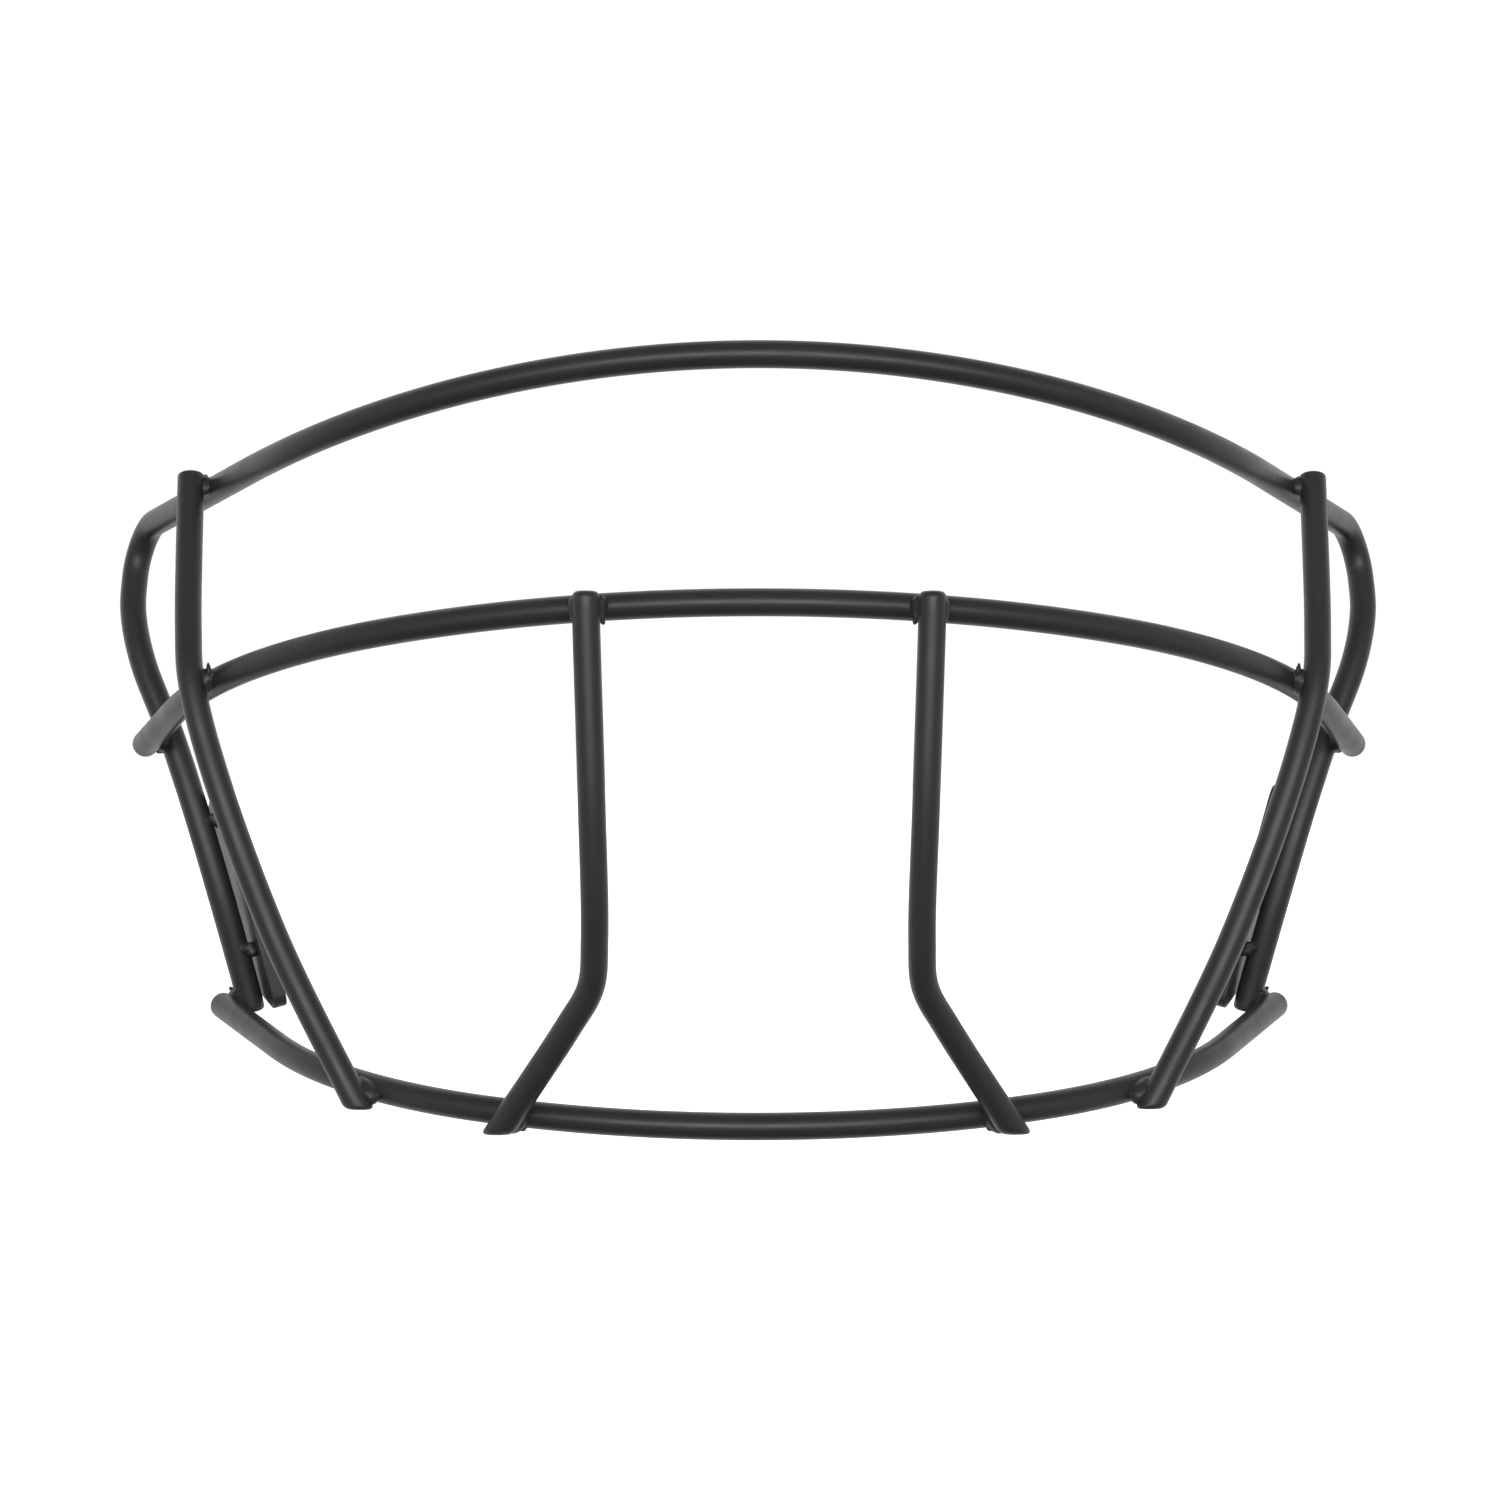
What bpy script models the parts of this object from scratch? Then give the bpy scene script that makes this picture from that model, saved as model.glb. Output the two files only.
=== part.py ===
"""Wire face guard for a batting helmet: a welded cage of bent steel rod with two mounting plates.

Metres, +Z up. The front of the guard faces -Y, and its halves mirror about the plane X = 0.
The origin is the centre of the guard's own bounding box.
"""

import math
from collections import namedtuple

import bmesh
import bpy
from mathutils import Matrix, Vector

MM = 0.001

# ---------------------------------------------------------------- driving dimensions
ROD_DIAMETER = 5.0 * MM          # 4.76 mm (3/16 in) wire with its powder coat
ROD_RADIUS = ROD_DIAMETER / 2
GAP = 0.3 * MM                   # clearance that two touching pieces keep
PITCH = ROD_DIAMETER + GAP       # distance between the axes of two rods that touch
ROD_SIDES = 12                   # facets round a rod
END_BEVEL = 0.5 * MM             # the coat rounds every cut end by this much
END_ROOM = 1.0 * MM              # a rod has no other section this close to a cut

# A crossbar is a flattened U: a front arc, a tighter corner arc and a straight leg on each side.
# Its plane slopes from the front: a positive slope drops the legs below the front.
Crossbar = namedtuple("Crossbar", "front_radius front_angle corner_radius corner_angle leg "
                                  "slope setback height")
MIDDLE_BAR = Crossbar(126 * MM, math.radians(31.3), 96.4 * MM, math.radians(73.5), 26 * MM,
                      math.radians(15.0), 0.0 * MM, 26.2 * MM)
LOWER_BAR = Crossbar(115 * MM, math.radians(26.0), 78.9 * MM, math.radians(67.0), 31.3 * MM,
                     math.radians(-14.0), 18.0 * MM, -67.7 * MM)
BROW_BAR = Crossbar(134 * MM, math.radians(21.0), 79 * MM, math.radians(68.4), 54.6 * MM,
                    0.0, -4.0 * MM, 70.0 * MM)
BROW_ARCH_RADIUS = 238.5 * MM    # seen from the front, the brow bar is an arch of this radius
BROW_ARCH_HALF_WIDTH = 86 * MM   # outside this the arch runs on straight
ARC_STEP = math.radians(5.5)     # turn between two sections of a bent rod
LEG_STEPS = 3

KNEE_RADIUS = 8 * MM            # bend from the brow bar down into the side wire
KNEE_STEPS = 7
SIDE_WIRE_HEADING = Vector((0.10, -0.36, -1.0))    # direction of the right side wire below its knee
SIDE_WIRE_END_HEADING = Vector((-0.22, 0.12, -1.0))    # and where it meets the lower bar
SIDE_WIRE_SHOULDER = Vector((117.7, 103.0, 26.5)) * MM
SIDE_WIRE_UPPER = Vector((115.65, 98.9, 17.0)) * MM
SIDE_WIRE_BELLY = Vector((105.2, 93.2, -11.5)) * MM
SIDE_WIRE_LOWER = Vector((100.2, 93.2, -28.5)) * MM
SIDE_WIRE_TIP = 2.5 * MM         # how far the side wire runs on past the lower bar
BAR_END_OVERHANG = 1.8 * MM      # crossbar left past the side wire that it is welded to
FACE_CENTRE_DEPTH = 96 * MM      # the wearer's face lies round this depth behind the middle bar

OUTER_TOP_HEADING = Vector((0.0, 0.42, 1.0))       # the outer verticals lean back above the middle bar
OUTER_AT_BROW = 104.4 * MM       # lateral place of the outer vertical at each bar it crosses
OUTER_AT_MIDDLE = 103.4 * MM
OUTER_AT_LOWER = 73.6 * MM
OUTER_TOP_OVERHANG = 1.8 * MM
OUTER_ABOVE_BEND = Vector((104.2, 52.3, 22.5)) * MM
OUTER_BELOW_BEND = Vector((98.7, 44.8, -5.0)) * MM
OUTER_LOWER_THIRD = Vector((87.2, 42.2, -35.5)) * MM
OUTER_BOTTOM_HEIGHT = -65.6 * MM

INNER_AT_MIDDLE = 30.7 * MM      # lateral place of the inner vertical at each bar it crosses
INNER_AT_LOWER = 45.3 * MM
INNER_TOP_OVERHANG = 2.9 * MM
INNER_UPPER = Vector((29.7, 0.5, -9.0)) * MM
INNER_ABOVE_BEND = Vector((29.2, 6.6, -34.0)) * MM
INNER_BEND = Vector((29.9, 9.9, -42.4)) * MM
INNER_BELOW_BEND = Vector((33.9, 13.6, -49.6)) * MM
INNER_BOTTOM_HEIGHT = -69.4 * MM
CURVE_STEPS = 4                  # sections between two points of a vertical rod's route

PLATE_THICKNESS = 2.6 * MM
PLATE_FRONT = -4.6 * MM          # the plate's front edge, measured from the wire it is welded to
PLATE_BACK = 11.0 * MM
PLATE_FRONT_HEIGHT = 46.2 * MM   # height of the front edge; the ends slope in towards the back
PLATE_END_SLOPE = math.radians(25)
PLATE_CORNER_RADIUS = 2.4 * MM
PLATE_CORNER_STEPS = 4
PLATE_CENTRE_HEIGHT = -29.2 * MM
PLATE_LEAN = math.radians(15.7)  # from upright, seen from the front
PLATE_FLARE = math.radians(16)   # the plate opens outwards towards the back
SCREW_HOLE_DIAMETER = 5.0 * MM
SCREW_HOLE_BACK = 6.2 * MM       # hole centre, measured back from the wire
SCREW_HOLE_SIDES = 20

WELD_REACH = 4.2 * MM            # a crossing weld's half width along the rods
WELD_THICKNESS = 1.8 * MM        # its half thickness between them
PLATE_WELD_SIZE = (2.1 * MM, 1.6 * MM, 2.6 * MM)   # half sizes: outwards, front to back, along the wire
PLATE_WELD_HEIGHTS = {"upper": -14.0 * MM, "lower": -38.5 * MM}
PLATE_WELD_SETBACK = -2.7 * MM   # the fillet lies in the front corner between wire and plate
BEAD_COLUMNS = 12
BEAD_ROWS = 8
CUTTER_RUN = 7.0 * MM            # a clearance cutter runs this far past the ends of its rod
CUTTER_MARGIN = 15.0 * MM        # and this far past the edges of a plate

UP = Vector((0.0, 0.0, 1.0))
MIRROR = Matrix.Diagonal((-1.0, 1.0, 1.0))
SIDES = (("left", MIRROR), ("right", Matrix.Identity(3)))


# ---------------------------------------------------------------- rod routes
def plan_half(bar):
    """Half of a crossbar in its own plane, as (lateral, depth, heading) from the front centre."""
    points = []
    front_steps = max(1, round(bar.front_angle / ARC_STEP))
    for i in range(front_steps + 1):
        heading = bar.front_angle * i / front_steps
        points.append((bar.front_radius * math.sin(heading),
                       bar.front_radius * (1 - math.cos(heading)), heading))
    start_x, start_depth, start = points[-1]
    corner_steps = max(1, round((bar.corner_angle - start) / ARC_STEP))
    for i in range(1, corner_steps + 1):
        heading = start + (bar.corner_angle - start) * i / corner_steps
        points.append((start_x + bar.corner_radius * (math.sin(heading) - math.sin(start)),
                       start_depth + bar.corner_radius * (math.cos(start) - math.cos(heading)),
                       heading))
    leg_x, leg_depth, heading = points[-1]
    for i in range(1, LEG_STEPS + 1):
        run = bar.leg * i / LEG_STEPS
        points.append((leg_x + run * math.cos(heading), leg_depth + run * math.sin(heading), heading))
    return points


def crossbar_half(bar):
    """Right half of a flat crossbar that slopes down or up towards its legs."""
    return [Vector((x, bar.setback + depth * math.cos(bar.slope),
                    bar.height - depth * math.sin(bar.slope)))
            for x, depth, _ in plan_half(bar)]


def brow_half():
    """Right half of the brow bar: the same U in plan, arched when seen from the front."""
    edge_drop = BROW_ARCH_RADIUS - math.sqrt(BROW_ARCH_RADIUS ** 2 - BROW_ARCH_HALF_WIDTH ** 2)
    edge_slope = BROW_ARCH_HALF_WIDTH / (BROW_ARCH_RADIUS - edge_drop)

    def arch_height(x):
        if x > BROW_ARCH_HALF_WIDTH:
            return BROW_BAR.height - edge_drop - edge_slope * (x - BROW_ARCH_HALF_WIDTH)
        return BROW_BAR.height - BROW_ARCH_RADIUS + math.sqrt(BROW_ARCH_RADIUS ** 2 - x ** 2)
    return [Vector((x, BROW_BAR.setback + depth, arch_height(x))) for x, depth, _ in plan_half(BROW_BAR)]


def bend(start, heading, new_heading, radius, steps):
    """Points of a circular bend that leaves start along heading and ends along new_heading."""
    heading = heading.normalized()
    new_heading = new_heading.normalized()
    turn = heading.angle(new_heading)
    towards_centre = (new_heading - heading * heading.dot(new_heading)).normalized()
    centre = start + towards_centre * radius
    points = []
    for i in range(1, steps + 1):
        angle = turn * i / steps
        points.append(centre - towards_centre * radius * math.cos(angle)
                      + heading * radius * math.sin(angle))
    return points


def smooth_route(points, steps):
    """A smooth curve through the points, with the given number of sections between two of them."""
    first = points[0] * 2 - points[1]
    last = points[-1] * 2 - points[-2]
    guide = [first] + list(points) + [last]
    route = [points[0].copy()]
    for p0, p1, p2, p3 in zip(guide, guide[1:], guide[2:], guide[3:]):
        t1 = math.sqrt((p1 - p0).length)
        t2 = t1 + math.sqrt((p2 - p1).length)
        t3 = t2 + math.sqrt((p3 - p2).length)
        for i in range(1, steps + 1):
            t = t1 + (t2 - t1) * i / steps
            a1 = p0.lerp(p1, t / t1)
            a2 = p1.lerp(p2, (t - t1) / (t2 - t1))
            a3 = p2.lerp(p3, (t - t2) / (t3 - t2))
            b1 = a1.lerp(a2, t / t2)
            b2 = a2.lerp(a3, (t - t1) / (t3 - t1))
            route.append(b1.lerp(b2, (t - t1) / (t2 - t1)))
    return route


def mirrored(point):
    return MIRROR @ point


def both_halves(right_half):
    """Whole symmetric route, from the left end to the right end."""
    return [mirrored(p) for p in reversed(right_half[1:])] + right_half


def outward_normal(tangent, other_direction, place):
    """Direction square to two crossing rods that points away from the face."""
    normal = tangent.cross(other_direction).normalized()
    outward = Vector((place.x, place.y - FACE_CENTRE_DEPTH, 0.0))
    return normal if normal.dot(outward) > 0 else -normal


def laid_over(bar_route, lateral, direction):
    """Where a rod laid over the outside of a bar crosses it, for a wanted lateral place of the rod.

    Returns the rod's axis point, the bar's axis point and the normal between them.
    """
    for here, following in zip(bar_route, bar_route[1:]):
        tangent = following - here
        normal = outward_normal(tangent, direction, here)
        start = here + normal * PITCH
        end = following + normal * PITCH
        if start.x <= lateral <= end.x:
            share = (lateral - start.x) / (end.x - start.x)
            return start.lerp(end, share), here.lerp(following, share), normal
    raise ValueError("no crossing at this lateral place")


def back_from_end(route, distance):
    """A point this far before the end of a route, and the direction there."""
    direction = (route[-1] - route[-2]).normalized()
    return route[-1] - direction * distance, direction


def beside_bar_end(bar_route, direction):
    """Where the side wire passes inside the end of a bar, with the bar's point and the normal."""
    place, tangent = back_from_end(bar_route, BAR_END_OVERHANG)
    normal = outward_normal(tangent, direction, place)
    return place - normal * PITCH, place, normal


# ---------------------------------------------------------------- meshes
def new_object(name, mesh_builder, material):
    """Object made from a bmesh, smooth except where faces meet at an angle."""
    mesh = bpy.data.meshes.new(name)
    mesh_builder.to_mesh(mesh)
    mesh_builder.free()
    mesh.shade_smooth()
    mesh.set_sharp_from_angle(angle=math.radians(40))
    obj = bpy.data.objects.new(name, mesh)
    bpy.context.scene.collection.objects.link(obj)
    if material:
        mesh.materials.append(material)
    return obj


def as_cutter(obj):
    obj.hide_render = True
    obj.display_type = "WIRE"
    return obj


def ring_frames(route):
    """Tangent and two square axes at each point, carried along the route without twist."""
    tangents = []
    for i, point in enumerate(route):
        before = route[max(i - 1, 0)]
        after = route[min(i + 1, len(route) - 1)]
        tangents.append((after - before).normalized())
    side = tangents[0].orthogonal().normalized()
    frames = []
    for tangent in tangents:
        side = (side - tangent * side.dot(tangent)).normalized()
        frames.append((tangent, side, tangent.cross(side)))
    return frames


def bevelled_sections(route, level_end):
    """The route with a section where each end's bevel starts, and none in the room of a cut."""
    last_room = END_ROOM
    if level_end is not None:
        last_room += ROD_RADIUS * math.tan((route[-2] - route[-1]).angle(UP))
    middle = [p for p in route
              if (p - route[0]).length > END_ROOM and (p - route[-1]).length > last_room]
    first = route[0] + (middle[0] - route[0]).normalized() * END_BEVEL
    last = route[-1] + (middle[-1] - route[-1]).normalized() * END_BEVEL
    return [route[0], first] + middle + [last, route[-1]]


def rod(name, route, material, radius=ROD_RADIUS, level_end=None):
    """Round rod along a route, with bevelled ends; level_end trims the last end to a height."""
    sections = bevelled_sections(route, level_end)
    frames = ring_frames(sections)
    last = len(sections) - 1
    builder = bmesh.new()
    rings = []
    for i, (centre, (tangent, side, over)) in enumerate(zip(sections, frames)):
        ring_radius = radius - END_BEVEL if i in (0, last) else radius
        ring = []
        for k in range(ROD_SIDES):
            angle = 2 * math.pi * k / ROD_SIDES
            point = centre + (side * math.cos(angle) + over * math.sin(angle)) * ring_radius
            if level_end is not None and i >= last - 1:
                height = level_end + (END_BEVEL if i == last - 1 else 0.0)
                point += tangent * ((height - point.z) / tangent.z)
            ring.append(builder.verts.new(point))
        rings.append(ring)
    for ring, following in zip(rings, rings[1:]):
        for k in range(ROD_SIDES):
            after = (k + 1) % ROD_SIDES
            builder.faces.new((ring[k], ring[after], following[after], following[k]))
    builder.faces.new(list(reversed(rings[0])))
    builder.faces.new(rings[-1])
    return new_object(name, builder, material)


def clearance_of(name, route):
    """Cutter that keeps the touching gap round a rod and runs on past its ends."""
    before = route[0] + (route[0] - route[1]).normalized() * CUTTER_RUN
    after = route[-1] + (route[-1] - route[-2]).normalized() * CUTTER_RUN
    return as_cutter(rod(name + "_clearance", [before] + route + [after], None, ROD_RADIUS + GAP))


def cut_with(obj, cutters):
    for cutter in cutters:
        boolean = obj.modifiers.new("clear_of_" + cutter.name, "BOOLEAN")
        boolean.operation = "DIFFERENCE"
        boolean.solver = "EXACT"
        boolean.object = cutter


def bead(name, centre, axes, half_sizes, cutters, material):
    """Weld bead: an oval lump on three axes, with the rods it joins cut out of it."""
    builder = bmesh.new()
    bmesh.ops.create_uvsphere(builder, u_segments=BEAD_COLUMNS, v_segments=BEAD_ROWS, radius=1.0)
    turn = Matrix(axes).transposed()
    stretch = Matrix.Diagonal(half_sizes)
    for vertex in builder.verts:
        vertex.co = centre + turn @ (stretch @ vertex.co)
    if turn.determinant() < 0:
        bmesh.ops.reverse_faces(builder, faces=builder.faces)
    obj = new_object(name, builder, material)
    cut_with(obj, cutters)
    return obj


def crossing_weld(name, crossing, direction, cutters, material):
    """Bead that fills the corners all round the place where two rods touch."""
    rod_point, bar_point, normal = crossing
    along = (direction - normal * direction.dot(normal)).normalized()
    axes = (along, normal.cross(along), normal)
    bead(name, (rod_point + bar_point) / 2, axes, (WELD_REACH, WELD_REACH, WELD_THICKNESS),
         cutters, material)


# ---------------------------------------------------------------- mounting plate
def plate_outline():
    """Corners of the plate as (back, up) from its centre, with rounded corners."""
    half_front = PLATE_FRONT_HEIGHT / 2
    half_back = half_front - (PLATE_BACK - PLATE_FRONT) * math.tan(PLATE_END_SLOPE)
    corners = [Vector((PLATE_FRONT, -half_front)), Vector((PLATE_BACK, -half_back)),
               Vector((PLATE_BACK, half_back)), Vector((PLATE_FRONT, half_front))]
    outline = []
    for i, corner in enumerate(corners):
        to_before = (corners[i - 1] - corner).normalized()
        to_after = (corners[(i + 1) % len(corners)] - corner).normalized()
        half_angle = to_before.angle(to_after) / 2
        centre = corner + (to_before + to_after).normalized() * (PLATE_CORNER_RADIUS
                                                                 / math.sin(half_angle))
        tangent_length = PLATE_CORNER_RADIUS / math.tan(half_angle)
        start = corner + to_before * tangent_length - centre
        sweep = math.pi - 2 * half_angle
        for k in range(PLATE_CORNER_STEPS + 1):
            angle = sweep * k / PLATE_CORNER_STEPS
            outline.append(centre + Matrix.Rotation(angle, 2) @ start)
    return outline


def plate_axes():
    """Back, up and inward directions of the right-hand plate."""
    up = Vector((math.sin(PLATE_LEAN), 0.0, math.cos(PLATE_LEAN)))
    back = Vector((math.sin(PLATE_FLARE), math.cos(PLATE_FLARE), 0.0))
    back = (back - up * back.dot(up)).normalized()
    return back, up, up.cross(back)


def wire_point_at_height(route, height):
    for above, below in zip(route, route[1:]):
        if above.z >= height >= below.z:
            return above.lerp(below, (above.z - height) / (above.z - below.z))
    raise ValueError("the side wire doesn't reach this height")


def plate_seat(side_wire):
    """Centre of the outer face of the right-hand plate, laid against the side wire."""
    back, up, inward = plate_axes()
    centre = wire_point_at_height(side_wire, PLATE_CENTRE_HEIGHT)
    beside = [p - centre for p in side_wire if abs((p - centre).dot(up)) < PLATE_FRONT_HEIGHT / 2]
    reach = max(offset.dot(inward) for offset in beside)
    return centre + inward * (max(reach, 0.0) + ROD_RADIUS + GAP)


def slab(name, corners, axes, seat, thickness, material):
    """Flat outline given as (back, up), thickened along the third axis."""
    back, up, inward = axes
    builder = bmesh.new()
    rings = []
    for depth in (0.0, thickness):
        rings.append([builder.verts.new(seat + back * c.x + up * c.y + inward * depth)
                      for c in corners])
    outer, inner = rings
    for k in range(len(corners)):
        after = (k + 1) % len(corners)
        builder.faces.new((outer[k], outer[after], inner[after], inner[k]))
    builder.faces.new(list(reversed(outer)))
    builder.faces.new(inner)
    bmesh.ops.recalc_face_normals(builder, faces=builder.faces)
    return new_object(name, builder, material)


def round_outline(radius, centre_back, sides):
    return [Vector((centre_back + radius * math.cos(2 * math.pi * k / sides),
                    radius * math.sin(2 * math.pi * k / sides))) for k in range(sides)]


def mounting_plate(name, seat, axes, material):
    """Steel strap welded inside the side wire, with one hole for the helmet screw."""
    plate = slab(name, plate_outline(), axes, seat, PLATE_THICKNESS, material)
    drill = round_outline(SCREW_HOLE_DIAMETER / 2, SCREW_HOLE_BACK, SCREW_HOLE_SIDES)
    drill_seat = seat - axes[2] * PLATE_THICKNESS
    cutter = slab(name + "_screw_hole", drill, axes, drill_seat, 3 * PLATE_THICKNESS, None)
    cut_with(plate, [as_cutter(cutter)])


def plate_clearance(name, seat, axes):
    """Cutter that keeps the touching gap in front of a plate's outer face."""
    reach = PLATE_FRONT_HEIGHT / 2 + CUTTER_MARGIN
    corners = [Vector(corner) for corner in ((-reach, -reach), (reach, -reach),
                                             (reach, reach), (-reach, reach))]
    start = seat - axes[2] * GAP
    return as_cutter(slab(name + "_clearance", corners, axes, start, CUTTER_MARGIN, None))


def plate_weld(name, wire, seat, axes, cutters, material):
    """Fillet in the front corner between a point of the side wire and the plate's outer face."""
    back, up, inward = axes
    to_face = (seat - wire).dot(inward)
    centre = wire + inward * (to_face - PLATE_WELD_SIZE[0] / 2) + back * PLATE_WELD_SETBACK
    bead(name, centre, (inward, back, up), PLATE_WELD_SIZE, cutters, material)


# ---------------------------------------------------------------- materials
def coated_steel(name, colour, roughness):
    material = bpy.data.materials.new(name)
    material.use_nodes = True
    shader = material.node_tree.nodes["Principled BSDF"]
    shader.inputs["Base Color"].default_value = (*colour, 1.0)
    shader.inputs["Roughness"].default_value = roughness
    shader.inputs["Metallic"].default_value = 0.0
    return material


# ---------------------------------------------------------------- the guard
def perimeter_half(middle_half, lower_half):
    """Right half of the perimeter wire: brow bar, knee and side wire down to the lower bar."""
    brow = brow_half()
    knee = bend(brow[-1], brow[-1] - brow[-2], SIDE_WIRE_HEADING, KNEE_RADIUS, KNEE_STEPS)
    at_middle = beside_bar_end(middle_half, SIDE_WIRE_BELLY - SIDE_WIRE_UPPER)
    at_lower = beside_bar_end(lower_half, SIDE_WIRE_END_HEADING)
    tip = at_lower[0] + SIDE_WIRE_END_HEADING.normalized() * SIDE_WIRE_TIP
    guide = [knee[-2], knee[-1], SIDE_WIRE_SHOULDER, SIDE_WIRE_UPPER, at_middle[0],
             SIDE_WIRE_BELLY, SIDE_WIRE_LOWER, at_lower[0], tip]
    side_wire = smooth_route(guide, CURVE_STEPS)[CURVE_STEPS:]
    return brow + knee[:-1] + side_wire, side_wire, at_middle, at_lower


def outer_vertical(brow, middle, lower):
    """Right outer vertical, from above the brow bar to below the lower bar."""
    at_brow = laid_over(brow, OUTER_AT_BROW, OUTER_TOP_HEADING)
    at_middle = laid_over(middle, OUTER_AT_MIDDLE, UP)
    at_lower = laid_over(lower, OUTER_AT_LOWER, OUTER_BELOW_BEND - OUTER_LOWER_THIRD)
    top = at_brow[0] + OUTER_TOP_HEADING.normalized() * OUTER_TOP_OVERHANG
    downward = (at_lower[0] - OUTER_LOWER_THIRD).normalized()
    bottom = at_lower[0] + downward * ((OUTER_BOTTOM_HEIGHT - at_lower[0].z) / downward.z)
    guide = [top, at_brow[0], OUTER_ABOVE_BEND, at_middle[0], OUTER_BELOW_BEND, OUTER_LOWER_THIRD,
             at_lower[0], bottom]
    return smooth_route(guide, CURVE_STEPS), at_brow, at_middle, at_lower


def inner_vertical(middle, lower):
    """Right inner vertical: hangs from the middle bar and kicks outwards to the lower bar."""
    at_middle = laid_over(middle, INNER_AT_MIDDLE, UP)
    at_lower = laid_over(lower, INNER_AT_LOWER, INNER_BEND - INNER_BELOW_BEND)
    top = at_middle[0] + UP * INNER_TOP_OVERHANG
    downward = (at_lower[0] - INNER_BELOW_BEND).normalized()
    bottom = at_lower[0] + downward * ((INNER_BOTTOM_HEIGHT - at_lower[0].z) / downward.z)
    guide = [top, at_middle[0], INNER_UPPER, INNER_ABOVE_BEND, INNER_BEND, INNER_BELOW_BEND,
             at_lower[0], bottom]
    return smooth_route(guide, CURVE_STEPS), at_middle, at_lower


def add_rod(name, route, material, level_end=None):
    """Rod with the clearance cutter that its welds use."""
    rod(name, route, material, ROD_RADIUS, level_end)
    return clearance_of(name, route)


def centre_on_origin():
    """Move every object so that the guard's bounding box is centred on the origin."""
    bpy.context.view_layer.update()
    lowest = Vector((math.inf,) * 3)
    highest = Vector((-math.inf,) * 3)
    for obj in bpy.data.objects:
        if obj.hide_render:
            continue
        for vertex in obj.data.vertices:
            lowest = Vector(map(min, lowest, vertex.co))
            highest = Vector(map(max, highest, vertex.co))
    shift = Matrix.Translation(-(lowest + highest) / 2)
    for obj in bpy.data.objects:
        obj.data.transform(shift)


def build_guard():
    rod_coat = coated_steel("rod_coat", (0.028, 0.028, 0.030), 0.45)
    plate_coat = coated_steel("plate_coat", (0.024, 0.024, 0.026), 0.50)
    weld_coat = coated_steel("weld_coat", (0.020, 0.020, 0.022), 0.60)

    brow = brow_half()
    middle = crossbar_half(MIDDLE_BAR)
    lower = crossbar_half(LOWER_BAR)
    perimeter, side_wire, side_at_middle, side_at_lower = perimeter_half(middle, lower)
    outer, outer_at_brow, outer_at_middle, outer_at_lower = outer_vertical(brow, middle, lower)
    inner, inner_at_middle, inner_at_lower = inner_vertical(middle, lower)

    perimeter_cut = add_rod("perimeter_wire", both_halves(perimeter), rod_coat)
    middle_cut = add_rod("middle_crossbar", both_halves(middle), rod_coat)
    lower_cut = add_rod("lower_crossbar", both_halves(lower), rod_coat)
    seat = plate_seat(side_wire)

    for side, flip in SIDES:
        outer_cut = add_rod("outer_vertical_" + side, [flip @ p for p in outer], rod_coat,
                            OUTER_BOTTOM_HEIGHT)
        inner_cut = add_rod("inner_vertical_" + side, [flip @ p for p in inner], rod_coat,
                            INNER_BOTTOM_HEIGHT)
        welds = (("outer_brow", outer_at_brow, OUTER_TOP_HEADING, (outer_cut, perimeter_cut)),
                 ("outer_middle", outer_at_middle, UP, (outer_cut, middle_cut)),
                 ("outer_lower", outer_at_lower, UP, (outer_cut, lower_cut)),
                 ("inner_middle", inner_at_middle, UP, (inner_cut, middle_cut)),
                 ("inner_lower", inner_at_lower, UP, (inner_cut, lower_cut)),
                 ("side_middle", side_at_middle, UP, (perimeter_cut, middle_cut)),
                 ("side_lower", side_at_lower, UP, (perimeter_cut, lower_cut)))
        for place, crossing, direction, cutters in welds:
            crossing = [flip @ vector for vector in crossing]
            crossing_weld("weld_" + place + "_" + side, crossing, flip @ direction, cutters, weld_coat)

        axes = [flip @ axis for axis in plate_axes()]
        mounting_plate("mounting_plate_" + side, flip @ seat, axes, plate_coat)
        plate_cut = plate_clearance("mounting_plate_" + side, flip @ seat, axes)
        for place, height in PLATE_WELD_HEIGHTS.items():
            wire = flip @ wire_point_at_height(side_wire, height)
            plate_weld("weld_plate_" + place + "_" + side, wire, flip @ seat, axes,
                       (perimeter_cut, plate_cut), weld_coat)
    centre_on_origin()


for old_object in list(bpy.data.objects):
    bpy.data.objects.remove(old_object, do_unlink=True)
build_guard()
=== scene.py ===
"""Looks of a welded wire face guard: fine rods, weld metal, plates, powder coat, camera and light.

Metres, +Z up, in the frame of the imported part: the front faces -Y and the halves mirror about X = 0.
The routes repeat the driving dimensions of the CAD part; the frame says where they lie.
"""

import math
from collections import namedtuple
from functools import partial

import bmesh
import bpy
from mathutils import Matrix, Vector, noise


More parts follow.
